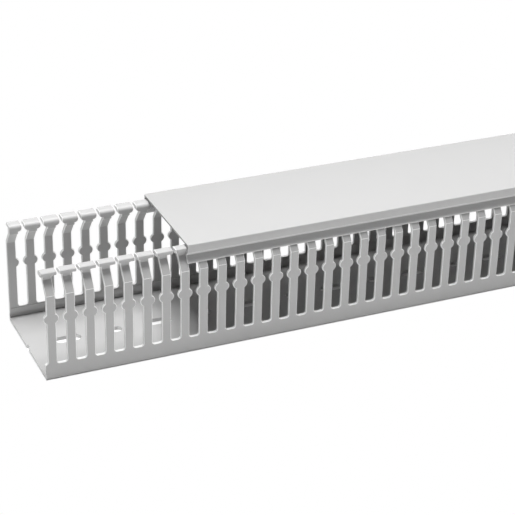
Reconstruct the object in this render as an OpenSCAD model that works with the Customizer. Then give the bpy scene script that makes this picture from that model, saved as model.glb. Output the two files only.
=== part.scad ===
// Slotted wire duct: a base channel with comb walls and the clip-on cover.
// Millimetres. The origin is the middle of the base's underside: X runs along
// the duct, Y across it, Z up. The cover is drawn slid back along X.

/* [Overall] */
// length of the base and of the cover
duct_l = 1000; // [300:12.5:1500]
// outer width over the two walls
duct_w = 80; // [70:1:120]
// how far the cover is slid back from the near end
cover_slide = 94; // [0:1:200]

/* [Base section] */
// thickness of the floor
floor_t = 2.2; // [1.8:0.1:3]
// thickness of the walls
wall_t = 2.2; // [1.8:0.1:2.6]
// height where the wall starts to lean inwards
bend_z = 58.5; // [56:0.5:60]
// how far the lean carries the wall inwards
lean_in = 6.2; // [5.8:0.1:6.4]
// rise of the leaning part
lean_rise = 8.6; // [8.2:0.1:9]
// height of the small break between outer wall face and bottom face
foot_break = 0.5; // [0.3:0.1:0.8]
// top height of the relief groove at the foot of the wall inside
foot_groove_z = 5.9; // [5:0.1:7]
// depth of that groove
foot_groove_d = 0.8; // [0.4:0.1:0.9]
// depth of the break-off score under the slots
score_d = 0.4; // [0.2:0.05:0.5]
// width of the score
score_w = 0.9; // [0.6:0.1:1.2]
// distance from the slot floor down to the middle of the score
score_drop = 1; // [0.8:0.1:1.6]

/* [Head of a finger] */
// outer face of the head, inwards from the outer wall face
head_out_y = 2.8; // [2.7:0.1:3]
// height of the flat underside that the cover hooks under
head_under_z = 70.4; // [70.2:0.1:70.6]
// height of the outer face of the head
head_face_h = 1.9; // [1.6:0.1:2.2]
// rise of the sloped lead above the outer face
head_lead_h = 1.7; // [1.5:0.1:1.9]
// width of the sloped lead
head_lead_w = 2; // [1.7:0.1:2.3]
// width of the flat top
head_top_w = 2.4; // [2:0.1:2.8]
// radius of the inner shoulder of the head
head_inner_r = 3; // [2.5:0.1:3.2]
// height of the lower inner edge of the head
head_low_z = 66.6; // [66.2:0.1:67.4]
// how far the inner face of the head draws back at its lower edge
head_draw = 0.9; // [0.5:0.1:1.2]

/* [Slots] */
// distance from slot to slot
pitch = 12.5; // [12:0.1:13]
// width of a slot between two fingers
slot_w = 6.7; // [6:0.1:7]
// height of the slot floor
slot_z = 10.8; // [9:0.1:12]
// corner radius at the slot floor
slot_r = 1.6; // [0.8:0.1:2.2]
// middle of the first whole slot of the front wall, from the near end
first_slot_x = 10.75; // [9.5:0.05:11.5]
// how much nearer the near end the slots of the rear wall are
rear_shift = 1.7; // [0:0.1:3]
// height of the middle of the wire-holding bulges
bulge_z = 42.6; // [36:0.1:48]
// how far a bulge stands out from the finger side
bulge_p = 1.9; // [1.2:0.1:2.2]
// half the height of a bulge
bulge_h = 3.1; // [2.6:0.1:3.6]
// width of the slit between two heads
slit_w = 1.8; // [1.2:0.1:2.2]
// height where the finger starts to widen into the head
flare_z = 68.1; // [67.5:0.1:69]
// height over which it widens
flare_h = 2.3; // [2:0.1:2.8]

/* [Floor holes] */
// distance between two long holes, and between two short ones
hole_step = 62.5; // [60:0.5:65]
// middle of the first long hole from the near end
long_hole_x = 27.2; // [25:0.1:30]
// length of a long hole
long_hole_l = 17.4; // [14:0.1:20]
// width of a long hole
long_hole_w = 7.4; // [6:0.1:9]
// middle of the first whole short hole from the near end
short_hole_x = 59.4; // [56:0.1:62]
// length of a short hole
short_hole_l = 8.6; // [7.5:0.1:10]
// width of a short hole
short_hole_w = 6.4; // [5:0.1:7]

/* [Cover] */
// thickness of the top plate
plate_t = 1.8; // [1.5:0.1:2.2]
// thickness of the side flanges
flange_t = 1.5; // [1.3:0.1:1.6]
// gap between cover and base all round
gap = 0.3; // [0.25:0.05:0.35]
// extra gap at the outer face of the heads
side_gap = 0.4; // [0.3:0.05:0.45]
// rounding of the long top edges
plate_r = 1; // [0.6:0.1:1.4]
// height of the lower edge of the flange face
flange_z = 69.5; // [69.3:0.1:69.7]
// how far the flange steps inwards under that edge
step_in = 3.3; // [3:0.1:3.5]
// drop of the step across its width
step_drop = 1.2; // [1:0.1:1.4]
// height of the lower edge of the lip
lip_z = 63.9; // [63.6:0.1:64.4]
// thickness of the lip
lip_t = 1.4; // [1.2:0.1:1.6]

/* [Hidden] */
over = 1;
duct_gray = [0.70, 0.70, 0.70];
lean_share = lean_in / lean_rise;
lean_top_z = bend_z + lean_rise;
head_face_z = head_under_z + head_face_h;
head_top_z = head_face_z + head_lead_h;
head_top_y = head_out_y + head_lead_w;
head_in_y = head_top_y + head_top_w;
head_face_in_y = head_in_y + head_inner_r;
head_shoulder_z = head_top_z - head_inner_r;
inner_bend_z = bend_z + wall_t * (1 - sqrt(1 + lean_share * lean_share)) / lean_share;
inner_lean_y = wall_t + (head_low_z - inner_bend_z) * lean_share;
score_z = slot_z - score_drop;
bulge_r = (bulge_h * bulge_h + bulge_p * bulge_p) / (2 * bulge_p);
slot_count = floor((duct_l - first_slot_x) / pitch + 0.5);
slot_depth = head_face_in_y + over;
long_count = floor((duct_l - long_hole_x - long_hole_l / 2) / hole_step) + 1;
short_count = floor((duct_l - short_hole_x) / hole_step + 0.5) + 1;
cover_out_y = head_out_y - side_gap - flange_t;
cover_under_z = head_top_z + gap;
cover_top_z = cover_under_z + plate_t;
cover_in_y = head_out_y - side_gap;
hook_z = head_under_z - gap;
hook_y = lean_in - gap;
step_y = cover_out_y + step_in;
step_z = flange_z - step_drop;
lip_gap = gap * sqrt(1 + lean_share * lean_share);
hook_low_z = lean_top_z + gap / 2;
lip_in_y = (lip_z - bend_z) * lean_share - lip_gap;
lip_out_y = lip_in_y - lip_t;
lip_mid_z = (step_z + lip_z) / 2;
lip_mid_y = (step_y + lip_out_y) / 2 + gap;
lip_nose = lip_t / 3;

// half of the base section: y inwards from the outer face of one wall
module wall_section() {
    polygon([
        [0, foot_break],
        [foot_break, 0],
        [duct_w / 2, 0],
        [duct_w / 2, floor_t],
        [wall_t - foot_groove_d, floor_t],
        [wall_t - foot_groove_d, foot_groove_z],
        [wall_t, foot_groove_z],
        [wall_t, score_z - score_w / 2],
        [wall_t - score_d, score_z],
        [wall_t, score_z + score_w / 2],
        [wall_t, inner_bend_z],
        [inner_lean_y, head_low_z],
        [head_face_in_y - head_draw, head_low_z],
        [head_face_in_y, head_low_z + head_draw],
        [head_face_in_y, head_shoulder_z],
        [head_in_y, head_shoulder_z],
        [head_in_y, head_top_z],
        [head_top_y, head_top_z],
        [head_out_y, head_face_z],
        [head_out_y, head_under_z],
        [lean_in, head_under_z],
        [lean_in, lean_top_z],
        [0, bend_z]
    ]);
    translate([head_in_y, head_shoulder_z]) intersection() {
        circle(r = head_inner_r, $fn = 64);
        square([head_inner_r, head_inner_r]);
    }
}

// half of the cover section, in the same place on the same wall
module cover_section() {
    difference() {
        polygon([
            [cover_out_y, cover_top_z],
            [duct_w / 2, cover_top_z],
            [duct_w / 2, cover_under_z],
            [cover_in_y, cover_under_z],
            [cover_in_y, hook_z],
            [hook_y, hook_z],
            [hook_y, hook_low_z],
            [lip_in_y, lip_z],
            [lip_in_y - lip_nose, lip_z - lip_nose],
            [lip_out_y + lip_nose, lip_z - lip_nose],
            [lip_out_y, lip_z],
            [lip_mid_y, lip_mid_z],
            [step_y, step_z],
            [cover_out_y, flange_z]
        ]);
        translate([cover_out_y, cover_top_z]) difference() {
            translate([-over, -plate_r]) square([plate_r + over, plate_r + over]);
            translate([plate_r, -plate_r]) circle(r = plate_r, $fn = 48);
        }
    }
}

// a half section and its mirror image, run along the duct
module run_along(run_l) {
    rotate([90, 0, 90]) linear_extrude(height = run_l) children();
    translate([0, duct_w, 0]) mirror([0, 1, 0]) rotate([90, 0, 90]) linear_extrude(height = run_l) children();
}

// outline of one slot, seen square to the wall: x along the duct, y up
module slot_shape() {
    difference() {
        union() {
            translate([-slot_w / 2, slot_z + slot_r]) square([slot_w, flare_z - slot_z - slot_r]);
            translate([-slot_w / 2 + slot_r, slot_z]) square([slot_w - 2 * slot_r, slot_r + over]);
            for (s = [-1, 1]) translate([s * (slot_w / 2 - slot_r), slot_z + slot_r]) circle(r = slot_r, $fn = 32);
            polygon([
                [-slot_w / 2, flare_z],
                [slot_w / 2, flare_z],
                [slit_w / 2, flare_z + flare_h],
                [slit_w / 2, head_top_z + over],
                [-slit_w / 2, head_top_z + over],
                [-slit_w / 2, flare_z + flare_h]
            ]);
        }
        for (s = [-1, 1]) translate([s * (slot_w / 2 + bulge_r - bulge_p), bulge_z]) circle(r = bulge_r, $fn = 64);
    }
}

// a slot through the front wall and one through the rear wall
module slot_cuts() {
    translate([0, slot_depth, 0]) rotate([90, 0, 0]) linear_extrude(height = slot_depth + over) slot_shape();
    translate([-rear_shift, duct_w + over, 0]) rotate([90, 0, 0]) linear_extrude(height = slot_depth + over) slot_shape();
}

// clears what the last slots would leave standing at the far end
module end_trim() {
    translate([0, -over, 0]) cube([pitch, duct_w / 2, head_top_z]);
    translate([-rear_shift, duct_w / 2 + over, 0]) cube([pitch, duct_w / 2, head_top_z]);
}

// an oblong hole through the floor, centred on the origin
module floor_hole(hole_l, hole_w) {
    translate([0, 0, -over]) linear_extrude(height = floor_t + 2 * over) union() {
        translate([-(hole_l - hole_w) / 2, -hole_w / 2]) square([hole_l - hole_w, hole_w]);
        for (s = [-1, 1]) translate([s * (hole_l - hole_w) / 2, 0]) circle(r = hole_w / 2, $fn = 48);
    }
}

// the base channel: one extrusion with its slots and floor holes cut
module slotted_base() {
    color(duct_gray) translate([-duct_l / 2, -duct_w / 2, 0]) difference() {
        run_along(duct_l) wall_section();
        for (i = [-1 : slot_count]) translate([first_slot_x + i * pitch, 0, 0]) slot_cuts();
        translate([first_slot_x + slot_count * pitch, 0, slot_z]) end_trim();
        for (i = [0 : long_count - 1]) translate([long_hole_x + i * hole_step, duct_w / 2, 0]) floor_hole(long_hole_l, long_hole_w);
        for (i = [-1 : short_count - 1]) translate([short_hole_x + i * hole_step, duct_w / 2, 0]) floor_hole(short_hole_l, short_hole_w);
    }
}

// the cover: one extrusion that hooks under the heads of both walls
module snap_cover() {
    color(duct_gray) translate([cover_slide - duct_l / 2, -duct_w / 2, 0]) run_along(duct_l) cover_section();
}

slotted_base();
snap_cover();
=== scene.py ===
import math

import bpy
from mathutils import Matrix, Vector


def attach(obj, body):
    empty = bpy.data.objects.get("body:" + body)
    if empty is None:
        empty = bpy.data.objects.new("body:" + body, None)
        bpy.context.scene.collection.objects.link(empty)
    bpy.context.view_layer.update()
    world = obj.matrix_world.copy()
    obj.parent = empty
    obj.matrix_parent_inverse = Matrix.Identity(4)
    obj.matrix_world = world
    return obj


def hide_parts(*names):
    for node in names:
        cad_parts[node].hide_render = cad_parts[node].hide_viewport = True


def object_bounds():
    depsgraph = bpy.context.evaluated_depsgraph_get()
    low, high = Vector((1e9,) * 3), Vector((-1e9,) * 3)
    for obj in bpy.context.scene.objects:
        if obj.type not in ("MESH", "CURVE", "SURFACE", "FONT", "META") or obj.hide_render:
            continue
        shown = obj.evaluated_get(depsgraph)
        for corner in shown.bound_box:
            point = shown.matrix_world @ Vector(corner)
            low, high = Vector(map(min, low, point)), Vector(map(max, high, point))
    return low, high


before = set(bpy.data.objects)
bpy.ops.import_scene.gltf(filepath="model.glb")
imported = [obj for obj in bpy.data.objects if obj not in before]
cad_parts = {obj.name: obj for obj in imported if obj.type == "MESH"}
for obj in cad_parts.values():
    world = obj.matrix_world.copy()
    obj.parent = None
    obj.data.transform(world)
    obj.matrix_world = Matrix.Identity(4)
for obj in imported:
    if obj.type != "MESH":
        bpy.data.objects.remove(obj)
cad_low, cad_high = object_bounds()


# The base channel is one length of rigid PVC, extruded as a U and then punched: narrow slots
# leave the fingers of both walls, oblong holes go through the floor. All its sizes are in
# millimetres, x from the near end, y inwards from the outer face of the front wall.
mm = 0.001
duct_l = 1000.0
duct_w = 80.0
floor_t = 2.2
wall_t = 2.2
foot_break = 0.5
groove_d = 1.4
groove_z = 5.9
score_z = 9.8
score_d = 0.4
bend_z = 58.5
lean_in = 6.2
lean_top_z = 67.1
head_out_y = 2.8
head_under_z = 71.0
head_face_z = 72.9
head_top_z = 73.3
head_break = 0.4
head_flat_y = 7.4
head_in_y = 10.2
head_low_z = 66.6
head_draw = 0.9
shoulder_steps = 8
doubles_gap = 0.01


def arc(centre, radius, start_deg, end_deg, steps):
    """Points of an arc in a plane, radius as (across, up)."""
    turns = [math.radians(start_deg + (end_deg - start_deg) * k / steps) for k in range(steps + 1)]
    return [(centre[0] + radius[0] * math.cos(a), centre[1] + radius[1] * math.sin(a)) for a in turns]


def drawn(name, points, depth):
    """A closed outline drawn point by point in millimetres, filled, and extruded by depth."""
    bpy.ops.object.select_all(action="DESELECT")
    bpy.ops.mesh.primitive_plane_add(size=mm, location=[c * mm for c in points[0]])
    piece = bpy.context.object
    piece.name = name
    bpy.ops.object.mode_set(mode="EDIT")
    bpy.ops.mesh.select_mode(type="VERT")
    bpy.ops.mesh.merge(type="CENTER")
    for here, there in zip(points, points[1:] + points[:1]):
        step = [(there[k] - here[k]) * mm for k in range(3)]
        bpy.ops.mesh.extrude_vertices_move(TRANSFORM_OT_translate={"value": step})
    bpy.ops.mesh.select_all(action="SELECT")
    bpy.ops.mesh.remove_doubles(threshold=doubles_gap * mm)
    bpy.ops.mesh.edge_face_add()
    bpy.ops.mesh.extrude_region_move(TRANSFORM_OT_translate={"value": [c * mm for c in depth]})
    bpy.ops.mesh.select_all(action="SELECT")
    bpy.ops.mesh.normals_make_consistent(inside=False)
    bpy.ops.object.mode_set(mode="OBJECT")
    bpy.ops.object.transform_apply(location=True, rotation=False, scale=False)
    return piece


def finish_modifier(piece, kind, **settings):
    """Adds one modifier with its settings and applies it."""
    bpy.context.view_layer.objects.active = piece
    modifier = piece.modifiers.new(kind.lower(), kind)
    for key, value in settings.items():
        setattr(modifier, key, value)
    bpy.ops.object.modifier_apply(modifier=modifier.name)


lean_share = lean_in / (lean_top_z - bend_z)
inner_bend_z = bend_z + wall_t * (1 - math.sqrt(1 + lean_share**2)) / lean_share
inner_lean_y = wall_t + (head_low_z - inner_bend_z) * lean_share
half_section = [
    (foot_break, 0),
    (0, foot_break),
    (0, bend_z),
    (lean_in, lean_top_z),
    (lean_in, head_under_z),
    (head_out_y, head_under_z),
    (head_out_y, head_face_z),
    (head_out_y + head_break, head_top_z),
    *arc(
        (head_flat_y, head_under_z),
        (head_in_y - head_flat_y, head_top_z - head_under_z),
        90,
        0,
        shoulder_steps,
    ),
    (head_in_y, head_low_z + head_draw),
    (head_in_y - head_draw, head_low_z),
    (inner_lean_y, head_low_z),
    (wall_t, inner_bend_z),
    (wall_t, score_z + score_d),
    (wall_t - score_d, score_z),
    (wall_t, score_z - score_d),
    (wall_t, groove_z),
    (wall_t - groove_d, groove_z),
    (wall_t - groove_d, floor_t),
]
section = half_section + [(duct_w - y, z) for y, z in reversed(half_section)]
near_x = -duct_l / 2
front_y = -duct_w / 2
channel = drawn("base_channel", [(near_x, front_y + y, z) for y, z in section], (duct_l, 0, 0))

# the slots of the front wall: round at the foot, two bulges that hold the wires, and a slit
# between the heads, which are rounded below
pitch = 12.5
slot_count = 81
first_slot_x = -1.75
rear_shift = 1.7
slot_half = 3.35
slit_half = 0.9
slot_z = 10.8
slot_r = 1.6
bulge_z = 42.6
bulge_p = 1.9
bulge_h = 3.1
over = 1.0
foot_steps = 5
bulge_steps = 9
corner_steps = 6
slot_depth = head_in_y + over
bulge_r = (bulge_h**2 + bulge_p**2) / (2 * bulge_p)
bulge_deg = math.degrees(math.asin(bulge_h / bulge_r))
corner_r = slot_half - slit_half
slot_side = [
    *arc((slot_half - slot_r, slot_z + slot_r), (slot_r, slot_r), -90, 0, foot_steps),
    *arc(
        (slot_half + bulge_r - bulge_p, bulge_z),
        (bulge_r, bulge_r),
        180 + bulge_deg,
        180 - bulge_deg,
        bulge_steps,
    ),
    *arc((slot_half, head_under_z), (corner_r, corner_r), 270, 180, corner_steps),
    (slit_half, head_top_z + over),
]
slot_outline = slot_side + [(-x, z) for x, z in reversed(slot_side)]
slot_x = near_x + first_slot_x
front_slots = drawn(
    "front slots",
    [(slot_x + x, front_y - over, z) for x, z in slot_outline],
    (0, slot_depth + over, 0),
)
finish_modifier(
    front_slots,
    "ARRAY",
    count=slot_count,
    use_relative_offset=False,
    use_constant_offset=True,
    constant_offset_displace=(pitch * mm, 0, 0),
)

# the same slots through the rear wall, a little nearer the near end
bpy.ops.object.select_all(action="DESELECT")
front_slots.select_set(True)
bpy.ops.object.duplicate()
bpy.ops.transform.translate(value=(-rear_shift * mm, (duct_w - slot_depth + over) * mm, 0))
bpy.ops.object.transform_apply(location=True, rotation=False, scale=False)
cutters = [front_slots, bpy.context.object]

# long and short holes in turn along the floor: length, width, first place and count of each
hole_step = 62.5
hole_end_steps = 12
long_hole = (17.4, 7.4, 27.2, 16)
short_hole = (8.6, 6.4, -3.1, 17)
for hole_name, hole in (("long holes", long_hole), ("short holes", short_hole)):
    hole_l, hole_w, hole_x, hole_count = hole
    straight = (hole_l - hole_w) / 2
    hole_r = hole_w / 2
    hole_outline = [
        *arc((straight, 0), (hole_r, hole_r), -90, 90, hole_end_steps),
        *arc((-straight, 0), (hole_r, hole_r), 90, 270, hole_end_steps),
    ]
    holes = drawn(
        hole_name,
        [(near_x + hole_x + x, y, -over) for x, y in hole_outline],
        (0, 0, floor_t + 2 * over),
    )
    finish_modifier(
        holes,
        "ARRAY",
        count=hole_count,
        use_relative_offset=False,
        use_constant_offset=True,
        constant_offset_displace=(hole_step * mm, 0, 0),
    )
    cutters.append(holes)

# what the last slots would leave standing at the far end comes off too
last_slot_x = slot_x + (slot_count - 1) * pitch
front_trim = (last_slot_x, front_y - over)
rear_trim = (last_slot_x - rear_shift, front_y + duct_w + over - slot_depth)
trim_size = (pitch, slot_depth, head_top_z)
for trim_x, trim_y in (front_trim, rear_trim):
    bpy.ops.object.select_all(action="DESELECT")
    bpy.ops.mesh.primitive_cube_add(size=1, location=(0, 0, 0))
    trim = bpy.context.object
    trim.name = "end trim"
    bpy.ops.transform.resize(value=[c * mm for c in trim_size])
    centre = (trim_x + trim_size[0] / 2, trim_y + trim_size[1] / 2, slot_z + trim_size[2] / 2)
    bpy.ops.transform.translate(value=[c * mm for c in centre])
    bpy.ops.object.transform_apply(location=True, rotation=False, scale=True)
    cutters.append(trim)

for cutter in cutters:
    finish_modifier(channel, "BOOLEAN", object=cutter, operation="DIFFERENCE", solver="MANIFOLD")
    bpy.data.objects.remove(cutter)

# the boolean leaves its seams in the flat faces; they are dissolved
seam_gap = 0.005
flat_deg = 0.5
bpy.ops.object.select_all(action="DESELECT")
channel.select_set(True)
bpy.context.view_layer.objects.active = channel
bpy.ops.object.mode_set(mode="EDIT")
bpy.ops.mesh.select_all(action="SELECT")
bpy.ops.mesh.remove_doubles(threshold=seam_gap * mm)
bpy.ops.mesh.dissolve_limited(angle_limit=math.radians(flat_deg))
bpy.ops.object.mode_set(mode="OBJECT")
channel.data.materials.clear()

# the skin keeps faint draw lines along the duct; the punched faces are rougher and paler, partly
# because the tool stresses the plastic there and partly as a painted highlight on the faces that look
# along the duct
base_skin = (0.473, 0.472, 0.471, 1.0)
base_skin_worn = (0.448, 0.447, 0.446, 1.0)
punched_pale_and_lit = (0.722, 0.721, 0.720, 1.0)
# painted highlight for the bevelled edges
rim_highlight = (0.902, 0.901, 0.900, 1.0)
# painted highlight for the upward tops of the heads
head_top_highlight = (0.512, 0.511, 0.510, 1.0)
draw_line_stretch = (2.0, 900.0, 900.0)
draw_line_detail = 3.0
draw_line_strength = 0.12
draw_line_depth = 0.0002
mottle_size = 35.0
mottle_detail = 4.0
punched_share = (0.25, 0.55)
pvc_ior = 1.52
skin_roughness = 0.42
cut_roughness = 0.68


def extruded_pvc(name, skin, skin_worn, cut):
    """Matt extruded PVC: cloudy grey, draw lines along X, paler where it was cut across; on the base
    this is in part a painted highlight.
    """
    material = bpy.data.materials.new(name)
    material.use_nodes = True
    nodes = material.node_tree.nodes
    link = material.node_tree.links.new
    shader = nodes["Principled BSDF"]
    shader.inputs["IOR"].default_value = pvc_ior

    place = nodes.new("ShaderNodeTexCoord")
    stretch = nodes.new("ShaderNodeMapping")
    stretch.inputs["Scale"].default_value = draw_line_stretch
    link(place.outputs["Object"], stretch.inputs["Vector"])
    lines = nodes.new("ShaderNodeTexNoise")
    lines.inputs["Scale"].default_value = 1.0
    lines.inputs["Detail"].default_value = draw_line_detail
    link(stretch.outputs["Vector"], lines.inputs["Vector"])

    cloud = nodes.new("ShaderNodeTexNoise")
    cloud.inputs["Scale"].default_value = mottle_size
    cloud.inputs["Detail"].default_value = mottle_detail
    link(place.outputs["Object"], cloud.inputs["Vector"])
    tint = nodes.new("ShaderNodeMix")
    tint.data_type = "RGBA"
    tint.inputs["A"].default_value = skin_worn
    tint.inputs["B"].default_value = skin
    link(cloud.outputs["Fac"], tint.inputs["Factor"])

    # a face that looks along the duct was punched or sawn
    facing = nodes.new("ShaderNodeSeparateXYZ")
    link(place.outputs["Normal"], facing.inputs["Vector"])
    along = nodes.new("ShaderNodeMath")
    along.operation = "ABSOLUTE"
    link(facing.outputs["X"], along.inputs[0])
    is_cut = nodes.new("ShaderNodeMapRange")
    is_cut.inputs["From Min"].default_value = punched_share[0]
    is_cut.inputs["From Max"].default_value = punched_share[1]
    link(along.outputs["Value"], is_cut.inputs["Value"])
    # the paler colour of these faces is partly a painted highlight
    colour = nodes.new("ShaderNodeMix")
    colour.data_type = "RGBA"
    colour.inputs["B"].default_value = cut
    link(is_cut.outputs["Result"], colour.inputs["Factor"])
    link(tint.outputs["Result"], colour.inputs["A"])
    link(colour.outputs["Result"], shader.inputs["Base Color"])

    dull = nodes.new("ShaderNodeMapRange")
    dull.inputs["To Min"].default_value = skin_roughness
    dull.inputs["To Max"].default_value = cut_roughness
    link(is_cut.outputs["Result"], dull.inputs["Value"])
    link(dull.outputs["Result"], shader.inputs["Roughness"])

    relief = nodes.new("ShaderNodeBump")
    relief.inputs["Strength"].default_value = draw_line_strength
    relief.inputs["Distance"].default_value = draw_line_depth
    link(lines.outputs["Fac"], relief.inputs["Height"])
    link(relief.outputs["Normal"], shader.inputs["Normal"])
    return material


channel.data.materials.append(extruded_pvc("base grey PVC", base_skin, base_skin_worn, punched_pale_and_lit))
channel.data.materials.append(extruded_pvc("base rim highlight PVC", rim_highlight, rim_highlight, rim_highlight))
channel.data.materials.append(extruded_pvc("head top highlight PVC", head_top_highlight, head_top_highlight, head_top_highlight))

# the punch leaves a slightly drawn rim round every slot, on both sides of the wall: the border of the
# faces that it made. The rim is painted pale, a painted highlight where the edges catch the light
rim = 0.37
bend_rim = 0.15
highlight_index = 1
head_top_highlight_index = 2
punched_x = 0.05
flat_foot_z = 0.9
round_foot_z = 0.3
top_facing_z = 0.5
near_enough = 0.05
smooth_deg = 30
bpy.ops.object.mode_set(mode="EDIT")
bpy.ops.mesh.select_mode(type="FACE")
bpy.ops.mesh.select_all(action="DESELECT")
bpy.ops.object.mode_set(mode="OBJECT")
for face in channel.data.polygons:
    on_end = abs(abs(face.center.x) - duct_l / 2 * mm) < near_enough * mm
    slot_side_face = abs(face.normal.x) > punched_x and face.center.z > floor_t * mm and not on_end
    at_foot = abs(face.center.z - slot_z * mm) < near_enough * mm
    slot_foot_face = face.normal.z > flat_foot_z and at_foot
    face.select = slot_side_face or slot_foot_face
bpy.ops.object.mode_set(mode="EDIT")
bpy.ops.mesh.region_to_loop()
bpy.ops.mesh.bevel(offset=rim * mm, segments=1, material=highlight_index, clamp_overlap=False)

# the outer edge of the bend gets a narrow bevel with the same painted highlight
bpy.ops.mesh.select_mode(type="EDGE")
bpy.ops.mesh.select_all(action="DESELECT")
bpy.ops.object.mode_set(mode="OBJECT")
bend_spots = set()
for point in channel.data.vertices:
    at_bend = abs(point.co.z - bend_z * mm) < near_enough * mm
    on_outside = abs(abs(point.co.y) - duct_w / 2 * mm) < near_enough * mm
    if at_bend and on_outside:
        bend_spots.add(point.index)
for edge in channel.data.edges:
    edge.select = edge.vertices[0] in bend_spots and edge.vertices[1] in bend_spots
bpy.ops.object.mode_set(mode="EDIT")
bpy.ops.mesh.bevel(offset=bend_rim * mm, segments=1, material=highlight_index, clamp_overlap=False)
bpy.ops.object.mode_set(mode="OBJECT")

# the upward tops of the heads are painted lighter, a painted highlight where the overhead light falls
# on them, and the feet of the slots, which face up, get the rims' painted highlight
for face in channel.data.polygons:
    at_head_top = face.center.z > head_face_z * mm
    in_slot_foot = slot_z * mm - near_enough * mm < face.center.z < (slot_z + slot_r) * mm
    if face.material_index == 0 and at_head_top and face.normal.z > top_facing_z:
        face.material_index = head_top_highlight_index
    if in_slot_foot and face.normal.z > round_foot_z:
        face.material_index = highlight_index
bpy.ops.object.shade_smooth_by_angle(angle=math.radians(smooth_deg))
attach(channel, "base")
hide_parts("slotted_base")


# The cover is a second extrusion of the same PVC, sawn square at its ends. Its lips clip
# under the heads of the fingers, and it slides along them.
cover_slide = 94.0
cover_top_z = 76.1
cover_under_z = 74.3
cover_out_y = 0.9
cover_edge_r = 0.5
cover_edge_steps = 4
flange_in_y = 2.4
flange_z = 70.4
hook_y = 5.9
hook_z = 70.6
hook_low_z = 67.25
step_y = 4.2
step_z = 67.9
lip_z = 63.0
lip_t = 1.4
lip_gap = 0.37
lip_nose = 0.47
lip_bow = 0.3
lip_in_y = (lip_z - bend_z) * lean_share - lip_gap
lip_out_y = lip_in_y - lip_t
half_cover = [
    (duct_w / 2, cover_under_z),
    (flange_in_y, cover_under_z),
    (flange_in_y, hook_z),
    (hook_y, hook_z),
    (hook_y, hook_low_z),
    (lip_in_y, lip_z),
    (lip_in_y - lip_nose, lip_z - lip_nose),
    (lip_out_y + lip_nose, lip_z - lip_nose),
    (lip_out_y, lip_z),
    ((step_y + lip_out_y) / 2 + lip_bow, (step_z + lip_z) / 2),
    (step_y, step_z),
    (cover_out_y, flange_z),
    *arc(
        (cover_out_y + cover_edge_r, cover_top_z - cover_edge_r),
        (cover_edge_r, cover_edge_r),
        180,
        90,
        cover_edge_steps,
    ),
]
cover_section = half_cover + [(duct_w - y, z) for y, z in reversed(half_cover[1:])]
cover_x = near_x + cover_slide
lid = drawn("cover_strip", [(cover_x, front_y + y, z) for y, z in cover_section], (duct_l, 0, 0))

cover_skin = (0.494, 0.493, 0.492, 1.0)
cover_skin_worn = (0.478, 0.477, 0.476, 1.0)
sawn_face = (0.502, 0.501, 0.500, 1.0)
# the pale bevels along the cover's edges are a painted highlight, where the edges catch the light
cover_rim_highlight = (0.672, 0.671, 0.670, 1.0)
cover_rim = 0.25
cover_rim_angle_deg = 50
lid.data.materials.clear()
lid.data.materials.append(extruded_pvc("cover grey PVC", cover_skin, cover_skin_worn, sawn_face))
cover_rim_highlight_pvc = extruded_pvc("cover rim highlight PVC", cover_rim_highlight, cover_rim_highlight, cover_rim_highlight)
lid.data.materials.append(cover_rim_highlight_pvc)
finish_modifier(
    lid,
    "BEVEL",
    width=cover_rim * mm,
    segments=1,
    limit_method="ANGLE",
    angle_limit=math.radians(cover_rim_angle_deg),
    material=highlight_index,
)
bpy.ops.object.select_all(action="DESELECT")
lid.select_set(True)
bpy.ops.object.shade_smooth_by_angle(angle=math.radians(smooth_deg))
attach(lid, "cover")
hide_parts("snap_cover")


# The duct lies on a plain white studio floor. The camera sees the floor evenly lit, as in
# the photograph, and it throws much of the overhead light back at the walls. A strip of the
# same paper lies right under the duct, where the floor gets less light.
floor_half = 12.0
floor_drop = 0.0004
strip_drop = 0.0002
floor_bounce = (0.85, 0.85, 0.85, 1.0)
paper_roughness = 1.0
bpy.ops.object.select_all(action="DESELECT")
bpy.ops.mesh.primitive_plane_add(size=2 * floor_half, location=(0, 0, cad_low.z - floor_drop))
floor = bpy.context.object
floor.name = "studio floor"
paper = bpy.data.materials.new("white paper")
paper.use_nodes = True
paper_nodes = paper.node_tree.nodes
paper_link = paper.node_tree.links.new
paper_nodes["Principled BSDF"].inputs["Base Color"].default_value = floor_bounce
paper_nodes["Principled BSDF"].inputs["Roughness"].default_value = paper_roughness
bright = paper_nodes.new("ShaderNodeEmission")
ray = paper_nodes.new("ShaderNodeLightPath")
seen = paper_nodes.new("ShaderNodeMixShader")
paper_link(ray.outputs["Is Camera Ray"], seen.inputs["Fac"])
paper_link(paper_nodes["Principled BSDF"].outputs["BSDF"], seen.inputs[1])
paper_link(bright.outputs["Emission"], seen.inputs[2])
paper_link(seen.outputs["Shader"], paper_nodes["Material Output"].inputs["Surface"])
floor.data.materials.append(paper)

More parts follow.
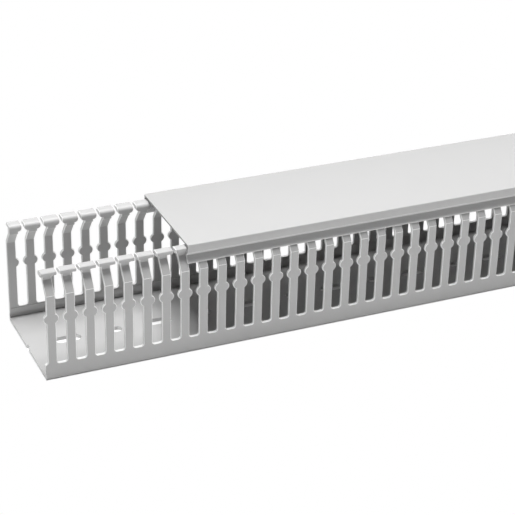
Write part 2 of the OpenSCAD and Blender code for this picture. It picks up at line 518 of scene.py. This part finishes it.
bpy.ops.object.select_all(action="DESELECT")
bpy.ops.mesh.primitive_plane_add(size=1, location=(0, 0, cad_low.z - strip_drop))
strip = bpy.context.object
strip.name = "paper strip"
bpy.ops.transform.resize(value=(duct_l * mm, duct_w * mm, 1))
bpy.ops.object.transform_apply(location=False, rotation=False, scale=True)
shaded_paper = bpy.data.materials.new("shaded paper")
shaded_paper.use_nodes = True
shaded_sheet = shaded_paper.node_tree.nodes["Principled BSDF"]
shaded_sheet.inputs["Base Color"].default_value = floor_bounce
shaded_sheet.inputs["Roughness"].default_value = paper_roughness
strip.data.materials.append(shaded_paper)


# Studio light: one strong soft box overhead, and three weak ones, from behind the far end,
# from the rear and from the front right. The floor does the rest.
near_end = (cad_low.x, 0.0, cad_high.z)
box_size = 1.2
overhead_offset = (0.0, 0.0, 2.2)
overhead_watts = 73.0
far_end_offset = (1.685, 0.0, 1.414)
far_end_watts = 9.0
rear_offset = (0.0, 1.1, 1.905)
rear_watts = 8.0
front_offset = (1.0, -1.0, 1.685)
front_watts = 5.0


def soft_box(name, offset, watts):
    """A square soft box at an offset from the open end, turned towards it."""
    place = tuple(near_end[k] + offset[k] for k in range(3))
    bpy.ops.object.light_add(type="AREA", location=place)
    light = bpy.context.object
    light.name = name
    light.data.size = box_size
    light.data.energy = watts
    down = [-offset[k] for k in range(3)]
    tilt = math.atan2(math.hypot(down[0], down[1]), -down[2])
    light.rotation_euler = (tilt, 0, math.atan2(down[1], down[0]) - math.pi / 2)


soft_box("overhead box", overhead_offset, overhead_watts)
soft_box("far end box", far_end_offset, far_end_watts)
soft_box("rear box", rear_offset, rear_watts)
soft_box("front box", front_offset, front_watts)

room = bpy.data.worlds.new("studio")
room.use_nodes = True
room.node_tree.nodes["Background"].inputs["Strength"].default_value = 0.0
bpy.context.scene.world = room
bpy.context.scene.view_settings.view_transform = "Standard"

# The camera stands before the front wall, a little past the open end, and looks along the
# duct from above. Place, turn and lens were solved from the duct's edges and fingers.
camera_place = (-0.7553, -0.9167, 0.5687)
camera_turn_deg = (62.085, -1.368, -23.589)
camera_lens_mm = 120.46
camera_sensor_mm = 36.0
camera_reach = 100.0
bpy.ops.object.camera_add(location=camera_place, rotation=[math.radians(a) for a in camera_turn_deg])
camera = bpy.context.object
camera.name = "camera"
camera.data.sensor_width = camera_sensor_mm
camera.data.lens = camera_lens_mm
camera.data.clip_end = camera_reach
bpy.context.scene.camera = camera
